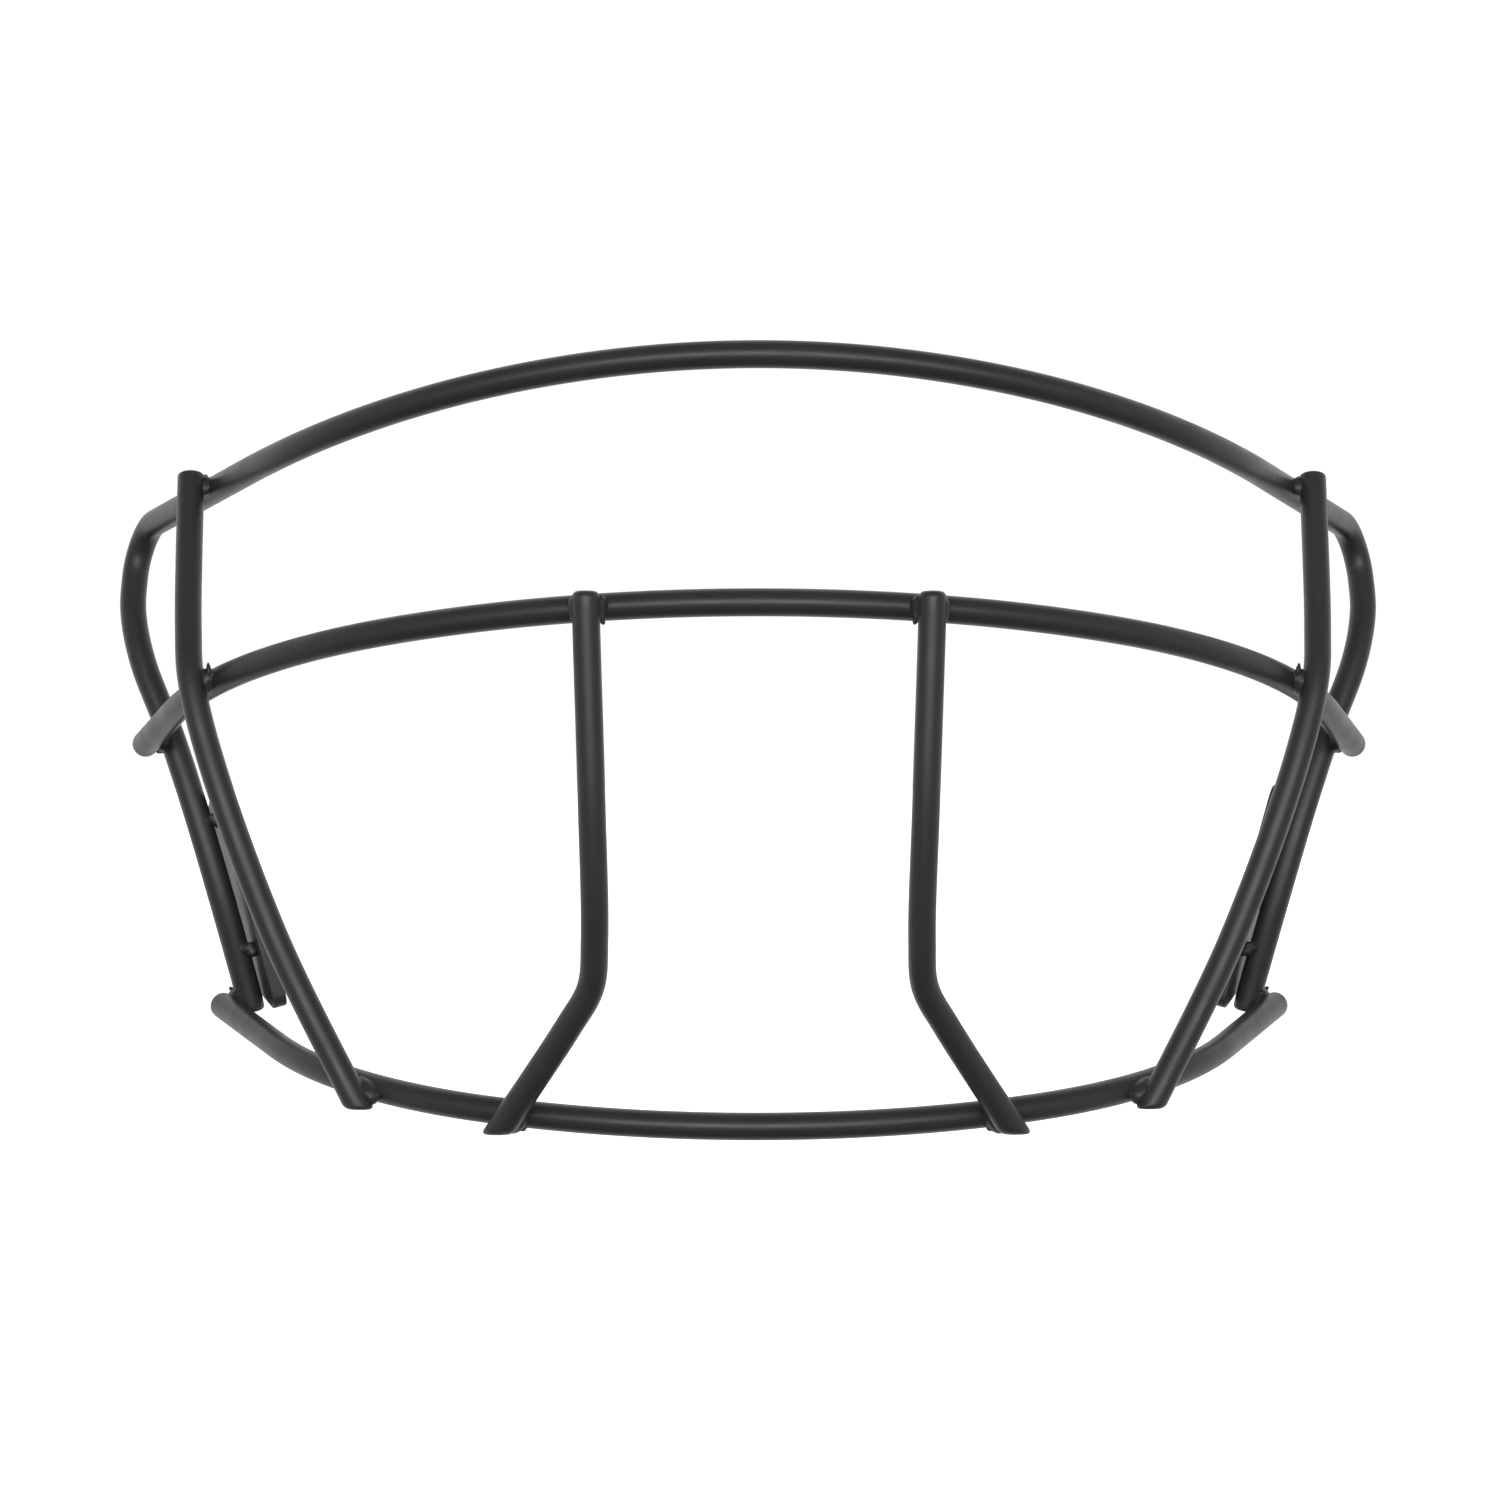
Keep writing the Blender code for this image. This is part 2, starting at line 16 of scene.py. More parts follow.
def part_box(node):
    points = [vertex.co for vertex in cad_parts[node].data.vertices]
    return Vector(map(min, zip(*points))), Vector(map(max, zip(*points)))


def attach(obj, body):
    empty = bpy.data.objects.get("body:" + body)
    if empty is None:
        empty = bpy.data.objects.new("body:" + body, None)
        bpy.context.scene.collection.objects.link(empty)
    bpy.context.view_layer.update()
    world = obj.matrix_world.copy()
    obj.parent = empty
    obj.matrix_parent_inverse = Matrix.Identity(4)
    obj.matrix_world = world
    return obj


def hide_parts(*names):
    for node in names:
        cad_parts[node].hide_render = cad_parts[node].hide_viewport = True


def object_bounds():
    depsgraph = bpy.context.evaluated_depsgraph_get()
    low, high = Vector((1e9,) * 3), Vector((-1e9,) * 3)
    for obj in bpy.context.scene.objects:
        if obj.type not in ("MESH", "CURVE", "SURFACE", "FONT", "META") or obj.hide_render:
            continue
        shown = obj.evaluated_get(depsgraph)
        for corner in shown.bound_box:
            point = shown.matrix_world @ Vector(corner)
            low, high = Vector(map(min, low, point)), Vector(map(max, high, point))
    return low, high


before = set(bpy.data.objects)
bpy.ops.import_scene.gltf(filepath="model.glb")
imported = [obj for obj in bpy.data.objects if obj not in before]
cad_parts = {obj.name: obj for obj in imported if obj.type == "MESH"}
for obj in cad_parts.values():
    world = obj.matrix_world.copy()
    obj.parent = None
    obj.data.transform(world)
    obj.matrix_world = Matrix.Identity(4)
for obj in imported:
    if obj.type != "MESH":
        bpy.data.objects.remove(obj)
CAD_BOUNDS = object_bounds()

MM = 0.001

# ---------------------------------------------------------------- the part's driving dimensions
ROD_RADIUS = 2.5 * MM
GAP = 0.3 * MM
PITCH = 2 * ROD_RADIUS + GAP
Crossbar = namedtuple("Crossbar", "front_radius front_angle corner_radius corner_angle leg "
                                  "slope setback height")
MIDDLE_BAR = Crossbar(126 * MM, math.radians(31.3), 96.4 * MM, math.radians(73.5), 26 * MM,
                      math.radians(15.0), 0.0 * MM, 26.2 * MM)
LOWER_BAR = Crossbar(115 * MM, math.radians(26.0), 78.9 * MM, math.radians(67.0), 31.3 * MM,
                     math.radians(-14.0), 18.0 * MM, -67.7 * MM)
BROW_BAR = Crossbar(134 * MM, math.radians(21.0), 79 * MM, math.radians(68.4), 54.6 * MM,
                    0.0, -4.0 * MM, 70.0 * MM)
BROW_ARCH_RADIUS = 238.5 * MM
BROW_ARCH_HALF_WIDTH = 86 * MM
KNEE_RADIUS = 8 * MM
SIDE_WIRE_HEADING = Vector((0.10, -0.36, -1.0))
SIDE_WIRE_END_HEADING = Vector((-0.22, 0.12, -1.0))
SIDE_WIRE_SHOULDER = Vector((117.7, 103.0, 26.5)) * MM
SIDE_WIRE_UPPER = Vector((115.65, 98.9, 17.0)) * MM
SIDE_WIRE_BELLY = Vector((105.2, 93.2, -11.5)) * MM
SIDE_WIRE_LOWER = Vector((100.2, 93.2, -28.5)) * MM
SIDE_WIRE_TIP = 2.5 * MM
BAR_END_OVERHANG = 1.8 * MM
FACE_CENTRE_DEPTH = 96 * MM

OUTER_TOP_HEADING = Vector((0.0, 0.42, 1.0))
OUTER_AT_BROW = 104.4 * MM
OUTER_AT_MIDDLE = 103.4 * MM
OUTER_AT_LOWER = 73.6 * MM
OUTER_TOP_OVERHANG = 1.8 * MM
OUTER_ABOVE_BEND = Vector((104.2, 52.3, 22.5)) * MM
OUTER_BELOW_BEND = Vector((98.7, 44.8, -5.0)) * MM
OUTER_LOWER_THIRD = Vector((87.2, 42.2, -35.5)) * MM
OUTER_BOTTOM_HEIGHT = -65.6 * MM

INNER_AT_MIDDLE = 30.7 * MM
INNER_AT_LOWER = 45.3 * MM
INNER_TOP_OVERHANG = 2.9 * MM
INNER_UPPER = Vector((29.7, 0.5, -9.0)) * MM
INNER_ABOVE_BEND = Vector((29.2, 6.6, -34.0)) * MM
INNER_BEND = Vector((29.9, 9.9, -42.4)) * MM
INNER_BELOW_BEND = Vector((33.9, 13.6, -49.6)) * MM
INNER_BOTTOM_HEIGHT = -69.4 * MM

PLATE_THICKNESS = 2.6 * MM
PLATE_FRONT = -4.6 * MM
PLATE_BACK = 11.0 * MM
PLATE_FRONT_HEIGHT = 46.2 * MM
PLATE_END_SLOPE = math.radians(25)
PLATE_CORNER_RADIUS = 2.4 * MM
PLATE_CENTRE_HEIGHT = -29.2 * MM
PLATE_LEAN = math.radians(15.7)
PLATE_FLARE = math.radians(16)
SCREW_HOLE_RADIUS = 2.5 * MM
SCREW_HOLE_BACK = 6.2 * MM
PLATE_WELD_HEIGHTS = {"upper": -14.0 * MM, "lower": -38.5 * MM}
PLATE_WELD_SETBACK = -2.7 * MM

# ---------------------------------------------------------------- fineness of the visible meshes
ARC_STEP = math.radians(1.5)     # turn between two points of a bent rod's route
CURVE_STEPS = 14                 # sections between two guide points of a smooth route
KNEE_STEPS = 20                  # sections of the visible knee
CAD_KNEE_STEPS = 7               # sections of the CAD model's knee, which set how the side wire leaves it
LEG_STEPS = 12
ROUTE_STEP = 1.1 * MM            # distance between two sections of a visible rod
ROD_SIDES = 36
END_STEPS = 6
END_ROOM = 1.3                   # no plain section lies within this many roundings of a cut end
END_DOME = 0.06 * MM             # the middle of a cut end stands this proud of its edge
END_DOME_SECTIONS = ((1.0, 0.4), (0.6, 0.8))   # shares of the dome's height and of the flat's radius
WEAR_REACH = 1.3 * MM            # the coat is rubbed this far from a cut end
PLATE_CORNER_STEPS = 8
PLATE_EDGE_BEVEL = 1.0 * MM      # at most; the hole's short sides hold it to about 0.2 mm
PLATE_BEVEL_SEGMENTS = 6
PLATE_BEVEL_ANGLE = math.radians(40)           # edges that turn by more than this are bevelled
SCREW_HOLE_SIDES = 40

# The coat's rounding at the cut ends.
BAR_END_ROUNDING = 1.6 * MM
WIRE_TIP_ROUNDING = 0.9 * MM
OUTER_TOP_ROUNDING = 0.5 * MM
INNER_TOP_ROUNDING = 1.2 * MM
BOTTOM_ROUNDING = 1.0 * MM

UP = Vector((0.0, 0.0, 1.0))
MIRROR = Matrix.Diagonal((-1.0, 1.0, 1.0))
SIDES = (("left", MIRROR), ("right", Matrix.Identity(3)))


# ---------------------------------------------------------------- rod routes
def plan_half(bar):
    """Half of a crossbar in its own plane, as (lateral, depth) from the front centre."""
    points = []
    front_steps = round(bar.front_angle / ARC_STEP)
    for i in range(front_steps + 1):
        heading = bar.front_angle * i / front_steps
        points.append((bar.front_radius * math.sin(heading),
                       bar.front_radius * (1 - math.cos(heading))))
    start_x, start_depth = points[-1]
    start = bar.front_angle
    corner_steps = round((bar.corner_angle - start) / ARC_STEP)
    for i in range(1, corner_steps + 1):
        heading = start + (bar.corner_angle - start) * i / corner_steps
        points.append((start_x + bar.corner_radius * (math.sin(heading) - math.sin(start)),
                       start_depth + bar.corner_radius * (math.cos(start) - math.cos(heading))))
    leg_x, leg_depth = points[-1]
    for i in range(1, LEG_STEPS + 1):
        run = bar.leg * i / LEG_STEPS
        points.append((leg_x + run * math.cos(bar.corner_angle),
                       leg_depth + run * math.sin(bar.corner_angle)))
    return points


def crossbar_half(bar):
    """Right half of a flat crossbar that slopes down or up towards its legs."""
    return [Vector((x, bar.setback + depth * math.cos(bar.slope), bar.height - depth * math.sin(bar.slope)))
            for x, depth in plan_half(bar)]


def brow_half():
    """Right half of the brow bar: the same U in plan, arched when seen from the front."""
    edge_drop = BROW_ARCH_RADIUS - math.sqrt(BROW_ARCH_RADIUS ** 2 - BROW_ARCH_HALF_WIDTH ** 2)
    edge_slope = BROW_ARCH_HALF_WIDTH / (BROW_ARCH_RADIUS - edge_drop)

    def arch_height(x):
        if x > BROW_ARCH_HALF_WIDTH:
            return BROW_BAR.height - edge_drop - edge_slope * (x - BROW_ARCH_HALF_WIDTH)
        return BROW_BAR.height - BROW_ARCH_RADIUS + math.sqrt(BROW_ARCH_RADIUS ** 2 - x ** 2)

    return [Vector((x, BROW_BAR.setback + depth, arch_height(x))) for x, depth in plan_half(BROW_BAR)]


def bend(start, heading, new_heading, radius, steps):
    """Points of a circular bend that leaves start along heading and ends along new_heading."""
    heading = heading.normalized()
    new_heading = new_heading.normalized()
    turn = heading.angle(new_heading)
    towards_centre = (new_heading - heading * heading.dot(new_heading)).normalized()
    centre = start + towards_centre * radius
    return [centre - towards_centre * radius * math.cos(turn * i / steps)
            + heading * radius * math.sin(turn * i / steps) for i in range(1, steps + 1)]


def smooth_route(points, steps):
    """A smooth curve through the points, with the given number of sections between two of them."""
    guide = [points[0] * 2 - points[1]] + list(points) + [points[-1] * 2 - points[-2]]
    route = [points[0].copy()]
    for p0, p1, p2, p3 in zip(guide, guide[1:], guide[2:], guide[3:]):
        t1 = math.sqrt((p1 - p0).length)
        t2 = t1 + math.sqrt((p2 - p1).length)
        t3 = t2 + math.sqrt((p3 - p2).length)
        for i in range(1, steps + 1):
            t = t1 + (t2 - t1) * i / steps
            a1 = p0.lerp(p1, t / t1)
            a2 = p1.lerp(p2, (t - t1) / (t2 - t1))
            a3 = p2.lerp(p3, (t - t2) / (t3 - t2))
            b1 = a1.lerp(a2, t / t2)
            b2 = a2.lerp(a3, (t - t1) / (t3 - t1))
            route.append(b1.lerp(b2, (t - t1) / (t2 - t1)))
    return route


def both_halves(right_half):
    """Whole symmetric route, from the left end to the right end."""
    return [MIRROR @ p for p in reversed(right_half[1:])] + right_half


def outward_normal(tangent, other_direction, place):
    """Direction square to two crossing rods that points away from the face."""
    normal = tangent.cross(other_direction).normalized()
    outward = Vector((place.x, place.y - FACE_CENTRE_DEPTH, 0.0))
    return normal if normal.dot(outward) > 0 else -normal


def laid_over(bar_route, lateral, direction):
    """Where a rod laid over the outside of a bar crosses it: (rod point, bar point)."""
    for here, following in zip(bar_route, bar_route[1:]):
        normal = outward_normal(following - here, direction, here)
        start = here + normal * PITCH
        end = following + normal * PITCH
        if start.x <= lateral <= end.x:
            share = (lateral - start.x) / (end.x - start.x)
            return start.lerp(end, share), here.lerp(following, share)
    raise ValueError("no crossing at this lateral place")


def beside_bar_end(bar_route, direction):
    """Where the side wire passes inside the end of a bar: (wire point, bar point)."""
    tangent = (bar_route[-1] - bar_route[-2]).normalized()
    place = bar_route[-1] - tangent * BAR_END_OVERHANG
    return place - outward_normal(tangent, direction, place) * PITCH, place


def perimeter_half(middle_half, lower_half):
    """Right half of the perimeter wire: brow bar, knee and side wire down to the lower bar."""
    brow = brow_half()
    knee = bend(brow[-1], brow[-1] - brow[-2], SIDE_WIRE_HEADING, KNEE_RADIUS, KNEE_STEPS)
    at_middle = beside_bar_end(middle_half, SIDE_WIRE_BELLY - SIDE_WIRE_UPPER)
    at_lower = beside_bar_end(lower_half, SIDE_WIRE_END_HEADING)
    tip = at_lower[0] + SIDE_WIRE_END_HEADING.normalized() * SIDE_WIRE_TIP
    before_knee_end = knee[-1] + (knee[-2] - knee[-1]) * (KNEE_STEPS / CAD_KNEE_STEPS)
    guide = [before_knee_end, knee[-1], SIDE_WIRE_SHOULDER, SIDE_WIRE_UPPER, at_middle[0],
             SIDE_WIRE_BELLY, SIDE_WIRE_LOWER, at_lower[0], tip]
    side_wire = smooth_route(guide, CURVE_STEPS)[CURVE_STEPS:]
    return brow + knee[:-1] + side_wire, side_wire, at_middle, at_lower


def outer_vertical(brow, middle, lower):
    """Right outer vertical, from above the brow bar to below the lower bar."""
    at_brow = laid_over(brow, OUTER_AT_BROW, OUTER_TOP_HEADING)
    at_middle = laid_over(middle, OUTER_AT_MIDDLE, UP)
    at_lower = laid_over(lower, OUTER_AT_LOWER, OUTER_BELOW_BEND - OUTER_LOWER_THIRD)
    top = at_brow[0] + OUTER_TOP_HEADING.normalized() * OUTER_TOP_OVERHANG
    downward = (at_lower[0] - OUTER_LOWER_THIRD).normalized()
    bottom = at_lower[0] + downward * ((OUTER_BOTTOM_HEIGHT - at_lower[0].z) / downward.z)
    guide = [top, at_brow[0], OUTER_ABOVE_BEND, at_middle[0], OUTER_BELOW_BEND, OUTER_LOWER_THIRD,
             at_lower[0], bottom]
    return smooth_route(guide, CURVE_STEPS), at_brow, at_middle, at_lower


def inner_vertical(middle, lower):
    """Right inner vertical: hangs from the middle bar and kicks outwards to the lower bar."""
    at_middle = laid_over(middle, INNER_AT_MIDDLE, UP)
    at_lower = laid_over(lower, INNER_AT_LOWER, INNER_BEND - INNER_BELOW_BEND)
    top = at_middle[0] + UP * INNER_TOP_OVERHANG
    downward = (at_lower[0] - INNER_BELOW_BEND).normalized()
    bottom = at_lower[0] + downward * ((INNER_BOTTOM_HEIGHT - at_lower[0].z) / downward.z)
    guide = [top, at_middle[0], INNER_UPPER, INNER_ABOVE_BEND, INNER_BEND, INNER_BELOW_BEND,
             at_lower[0], bottom]
    return smooth_route(guide, CURVE_STEPS), at_middle, at_lower


def frame_shift():
    """From the routes' own coordinates, whose depth starts at the middle bar, to the frame's."""
    low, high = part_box("perimeter_wire")
    brow_front = BROW_BAR.setback - ROD_RADIUS
    brow_top = BROW_BAR.height + ROD_RADIUS
    return Vector((0.0, low.y - brow_front, high.z - brow_top))


SHIFT = frame_shift()


# ---------------------------------------------------------------- meshes
def even_route(route, step):
    """The same route with points an even distance apart, so that no section is very short."""
    lengths = [0.0]
    for here, following in zip(route, route[1:]):
        lengths.append(lengths[-1] + (following - here).length)
    count = max(2, round(lengths[-1] / step))
    points = []
    k = 0
    for i in range(count + 1):
        wanted = lengths[-1] * i / count
        while k < len(route) - 2 and lengths[k + 1] < wanted:
            k += 1
        share = (wanted - lengths[k]) / (lengths[k + 1] - lengths[k])
        points.append(route[k].lerp(route[k + 1], min(share, 1.0)))
    return points


def route_frames(route):
    """Tangent and two square axes at each point, carried along the route without twist."""
    frames = []
    side = (route[1] - route[0]).orthogonal().normalized()
    for i in range(len(route)):
        tangent = (route[min(i + 1, len(route) - 1)] - route[max(i - 1, 0)]).normalized()
        side = (side - tangent * side.dot(tangent)).normalized()
        frames.append((tangent, side, tangent.cross(side)))
    return frames


def section_ring(builder, centre, axes, radius):
    """Round section of a rod, square to the first of the axes."""
    _, side, over = axes
    return [builder.verts.new(centre + (side * math.cos(2 * math.pi * k / ROD_SIDES)
                                        + over * math.sin(2 * math.pi * k / ROD_SIDES)) * radius)
            for k in range(ROD_SIDES)]


def skin(builder, rings):
    """Closed tube over the rings."""
    for ring, following in zip(rings, rings[1:]):
        for k in range(ROD_SIDES):
            after = (k + 1) % ROD_SIDES
            builder.faces.new((ring[k], ring[after], following[after], following[k]))
    builder.faces.new(list(reversed(rings[0])))
    builder.faces.new(rings[-1])


def end_profile(rounding):
    """(distance in from the cut, radius) of the sections that round a cut end, from its middle out."""
    flat = ROD_RADIUS - rounding
    profile = [(-rise * END_DOME, share * flat) for rise, share in END_DOME_SECTIONS]
    for i in range(END_STEPS + 1):
        angle = 0.5 * math.pi * i / END_STEPS
        profile.append((rounding * (1 - math.cos(angle)), flat + rounding * math.sin(angle)))
    return profile


def add_rod(builder, route, start_rounding, end_rounding, level_end):
    """Rod with rounded ends; level_end trims the last end to a level cut at that height."""
    wear = builder.verts.layers.float.new("wear")
    frames = route_frames(route)
    start_room = END_ROOM * start_rounding
    end_room = END_ROOM * end_rounding
    if level_end is not None:
        end_room += ROD_RADIUS * math.tan((route[-2] - route[-1]).angle(UP))
    rings = []

    def add_section(centre, axes, radius, inset):
        ring = section_ring(builder, centre, axes, radius)
        for vertex in ring:
            vertex[wear] = max(0.0, 1.0 - max(inset, 0.0) / WEAR_REACH)
        rings.append(ring)

    for inset, radius in end_profile(start_rounding):
        add_section(route[0] + frames[0][0] * inset, frames[0], radius, inset)
    for point, axes in zip(route[1:-1], frames[1:-1]):
        from_start = (point - route[0]).length
        from_end = (point - route[-1]).length
        if from_start > start_room and from_end > end_room:
            add_section(point, axes, ROD_RADIUS, min(from_start, from_end))
    for inset, radius in reversed(end_profile(end_rounding)):
        add_section(route[-1] - frames[-1][0] * inset, frames[-1], radius, inset)
        if level_end is not None:
            for vertex in rings[-1]:
                vertex.co += axes[0] * ((level_end + inset - vertex.co.z) / axes[0].z)
    skin(builder, rings)


def mesh_object(name, builder, material):
    """Object made from the builder's mesh, in the scene and with smooth shading."""
    mesh = bpy.data.meshes.new(name)
    builder.to_mesh(mesh)
    builder.free()
    mesh.shade_smooth()
    obj = bpy.data.objects.new(name, mesh)
    bpy.context.scene.collection.objects.link(obj)
    if material:
        mesh.materials.append(material)
    return obj


def finish_piece(obj, node):
    """Shift the piece to the frame, hang it from the root body and hide the CAD node that it stands for."""
    obj.data.transform(Matrix.Translation(SHIFT))
    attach(obj, "root")
    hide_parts(node)


def rod_piece(node, route, material, roundings, level_end=None):
    """One of the guard's rods; the roundings are those of its start and its end."""
    builder = bmesh.new()
    add_rod(builder, even_route(route, ROUTE_STEP), *roundings, level_end)
    finish_piece(mesh_object("coated_" + node, builder, material), node)


def applied(obj):
    """The object with its modifiers made part of its mesh."""
    bpy.context.view_layer.update()
    graph = bpy.context.evaluated_depsgraph_get()
    mesh = bpy.data.meshes.new_from_object(obj.evaluated_get(graph))
    old = obj.data
    obj.modifiers.clear()
    obj.data = mesh
    bpy.data.meshes.remove(old)
    return obj


# ---------------------------------------------------------------- weld metal
# A bead that runs along one side of a crossing, in the corner that the two rods make, in millimetres:
# which side (1 is towards the middle of the guard), where it starts and ends along the rod, and how
# thick it is at both ends.
Bead = namedtuple("Bead", "side start end start_radius end_radius")
CROSSING_BEADS = {
    "outer_brow": (Bead(1, -2.1, 0.3, 1.12, 1.05), Bead(-1, -1.7, 0.4, 1.00, 1.00)),
    "outer_middle": (Bead(1, -2.2, 1.9, 1.25, 1.15), Bead(-1, -1.9, 1.9, 1.00, 1.00)),
    "outer_lower": (Bead(1, -1.7, 1.8, 1.75, 1.00), Bead(-1, -1.4, 1.6, 1.00, 1.00)),
    "inner_middle": (Bead(1, -1.9, 1.1, 1.35, 1.45), Bead(-1, -1.7, 1.0, 1.70, 1.85)),
    "inner_lower": (Bead(1, -1.3, 2.2, 1.55, 1.15), Bead(-1, -1.0, 2.0, 1.00, 1.00)),
    "side_middle": (Bead(1, -2.5, 2.4, 1.20, 1.05), Bead(-1, -2.5, 2.4, 1.20, 1.05)),
    "side_lower": (Bead(1, -1.2, 2.5, 1.00, 1.10), Bead(-1, -1.2, 2.5, 1.00, 1.10)),
}
BEAD_STEP = 0.3 * MM
BEAD_SINK = 0.32                 # share of its radius that a drop's centre stands off each rod's skin
BEAD_WAVE = 0.12                 # share by which a bead swells and shrinks along its run
BEAD_WAVE_LENGTH = 1.1 * MM
BEAD_SEED_STEP = 2.3
BEAD_FURTHEST = math.radians(110)       # how far round the rod a drop is looked for, from the contact
BEAD_BISECTIONS = 16
BEAD_DIVISIONS = 2
CORE = (2.1 * MM, 1.9 * MM, 0.8 * MM)   # half sizes of the metal between the rods
# A drop or a fin of weld metal, in millimetres: its place along the rod, across it towards the middle
# of the guard and off the contact towards the rod, then its half sizes in the same order.
Lump = namedtuple("Lump", "along across out half_along half_across half_out")
CROSSING_LUMPS = {
    "outer_brow": (),
    "outer_middle": (Lump(2.5, 2.2, 0.3, 1.1, 0.45, 0.45), Lump(1.9, 2.6, 0.2, 0.9, 0.4, 0.45)),
    "outer_lower": (Lump(-0.6, 3.1, 0.1, 0.5, 0.45, 0.5), Lump(-1.9, 3.4, -0.1, 0.6, 0.5, 0.6)),
    "inner_middle": (Lump(-2.6, 2.4, -0.2, 0.6, 0.5, 0.6),),
    "inner_lower": (Lump(-0.9, 2.9, -0.7, 0.6, 0.5, 0.6),),
    "side_middle": (),
    "side_lower": (Lump(2.6, -2.1, 0.1, 0.45, 0.6, 0.5), Lump(2.4, 0.9, 0.1, 0.35, 1.2, 0.5)),
}
# The lumps of a fillet between the side wire and a plate, in millimetres: places from the fillet's
# middle and half sizes, both as inwards, back and up.
PLATE_LUMPS = ((Vector((-0.2, 0.3, 0.4)), (1.5, 1.1, 1.1)),
               (Vector((0.3, 0.0, -0.7)), (1.1, 1.0, 1.0)))
PLATE_WELD_PROUD = 1.0 * MM      # the fillet's middle lies this far off the plate's outer face
LUMP_UNEVENNESS = 0.3
LUMP_GRAIN = 1.7                 # how fine a lump's swellings are
LUMP_SEED_SPREAD = (3.7, 1.3, 7.1)      # steps through the noise from one seed to the next
LUMP_SEED_STEP = 0.37            # from one lump of a weld to the next
LUMP_DIVISIONS = 4
WELD_VOXEL = 0.22 * MM
WELD_FLOW = 0.5                  # how strongly each round of smoothing acts
WELD_SMOOTHING = 12
# The stretches of its pieces that a weld is fused with, and those that are cut away again, which are
# longer and a little fatter: how deep they lie under the skin, how far they reach from the weld, and how
# much room they leave before a rod's cut end.
Stretch = namedtuple("Stretch", "inset reach end_room")
FUSED = Stretch(0.10 * MM, 5.5 * MM, 1.2 * MM)
CUT_AWAY = Stretch(0.05 * MM, 7.5 * MM, 0.0)


def add_lump(builder, centre, axes, half_sizes, seed):
    """Uneven oval lump of weld metal."""
    made = bmesh.ops.create_icosphere(builder, subdivisions=LUMP_DIVISIONS, radius=1.0)["verts"]
    turn = Matrix(axes).transposed()
    offset = Vector([seed * spread for spread in LUMP_SEED_SPREAD])
    for vertex in made:
        swell = 1.0 + LUMP_UNEVENNESS * noise.noise(vertex.co * LUMP_GRAIN + offset)
        vertex.co = centre + turn @ (Matrix.Diagonal(half_sizes) @ (vertex.co * swell))


def add_ball(builder, centre, radius):
    """One round drop of weld metal."""
    made = bmesh.ops.create_icosphere(builder, subdivisions=BEAD_DIVISIONS, radius=radius)["verts"]
    bmesh.ops.translate(builder, verts=made, vec=centre)


def bead_centre(rod_axis, bar_axis, bar_heading, out, aside, reach):
    """Place beside the rod that lies this far from both rods' middle lines; None if it's past the bar."""

    def from_rod(angle):
        return rod_axis - out * reach * math.cos(angle) + aside * reach * math.sin(angle)

    def beyond(point):
        offset = point - bar_axis
        return (offset - bar_heading * offset.dot(bar_heading)).length > reach

    low = 0.0
    high = BEAD_FURTHEST
    if beyond(from_rod(low)):
        return None
    for _ in range(BEAD_BISECTIONS):
        middle = (low + high) / 2
        if beyond(from_rod(middle)):
            high = middle
        else:
            low = middle
    return from_rod(high)


def add_bead(builder, bead, crossing, axes, bar_heading, seed):
    """Run of overlapping drops of weld metal in the corner between two rods."""
    rod_point, bar_point = crossing
    along, across, out = axes
    start, end = bead.start * MM, bead.end * MM
    steps = math.ceil((end - start) / BEAD_STEP)
    for i in range(steps + 1):
        share = i / steps
        height = start + (end - start) * share
        radius = (bead.start_radius + (bead.end_radius - bead.start_radius) * share) * MM
        wave = noise.noise(Vector((height / BEAD_WAVE_LENGTH, seed * BEAD_SEED_STEP, 0.0)))
        radius *= 1.0 + BEAD_WAVE * wave
        centre = bead_centre(rod_point + along * height, bar_point, bar_heading, out,
                             across * bead.side, ROD_RADIUS + BEAD_SINK * radius)
        if centre is not None:
            add_ball(builder, centre, radius)


def add_arm(builder, stretch, route, centre):
    """The stretch of a rod near a weld, with its skin moved in."""
    near = [p for p in route if (p - centre).length < stretch.reach
            and min((p - route[0]).length, (p - route[-1]).length) >= stretch.end_room]
    rings = [section_ring(builder, point, axes, ROD_RADIUS - stretch.inset)
             for point, axes in zip(near, route_frames(near))]
    skin(builder, rings)


def add_plate_patch(builder, stretch, centre, axes):
    """The stretch of a plate near a weld, with its skin moved in; centre lies on the outer face."""
    made = bmesh.ops.create_cube(builder, size=1.0)["verts"]
    turn = Matrix(axes).transposed()
    sizes = (PLATE_THICKNESS - 2 * stretch.inset, stretch.reach, stretch.reach)
    for vertex in made:
        vertex.co = centre + turn @ (Matrix.Diagonal(sizes) @ vertex.co) + axes[0] * PLATE_THICKNESS / 2


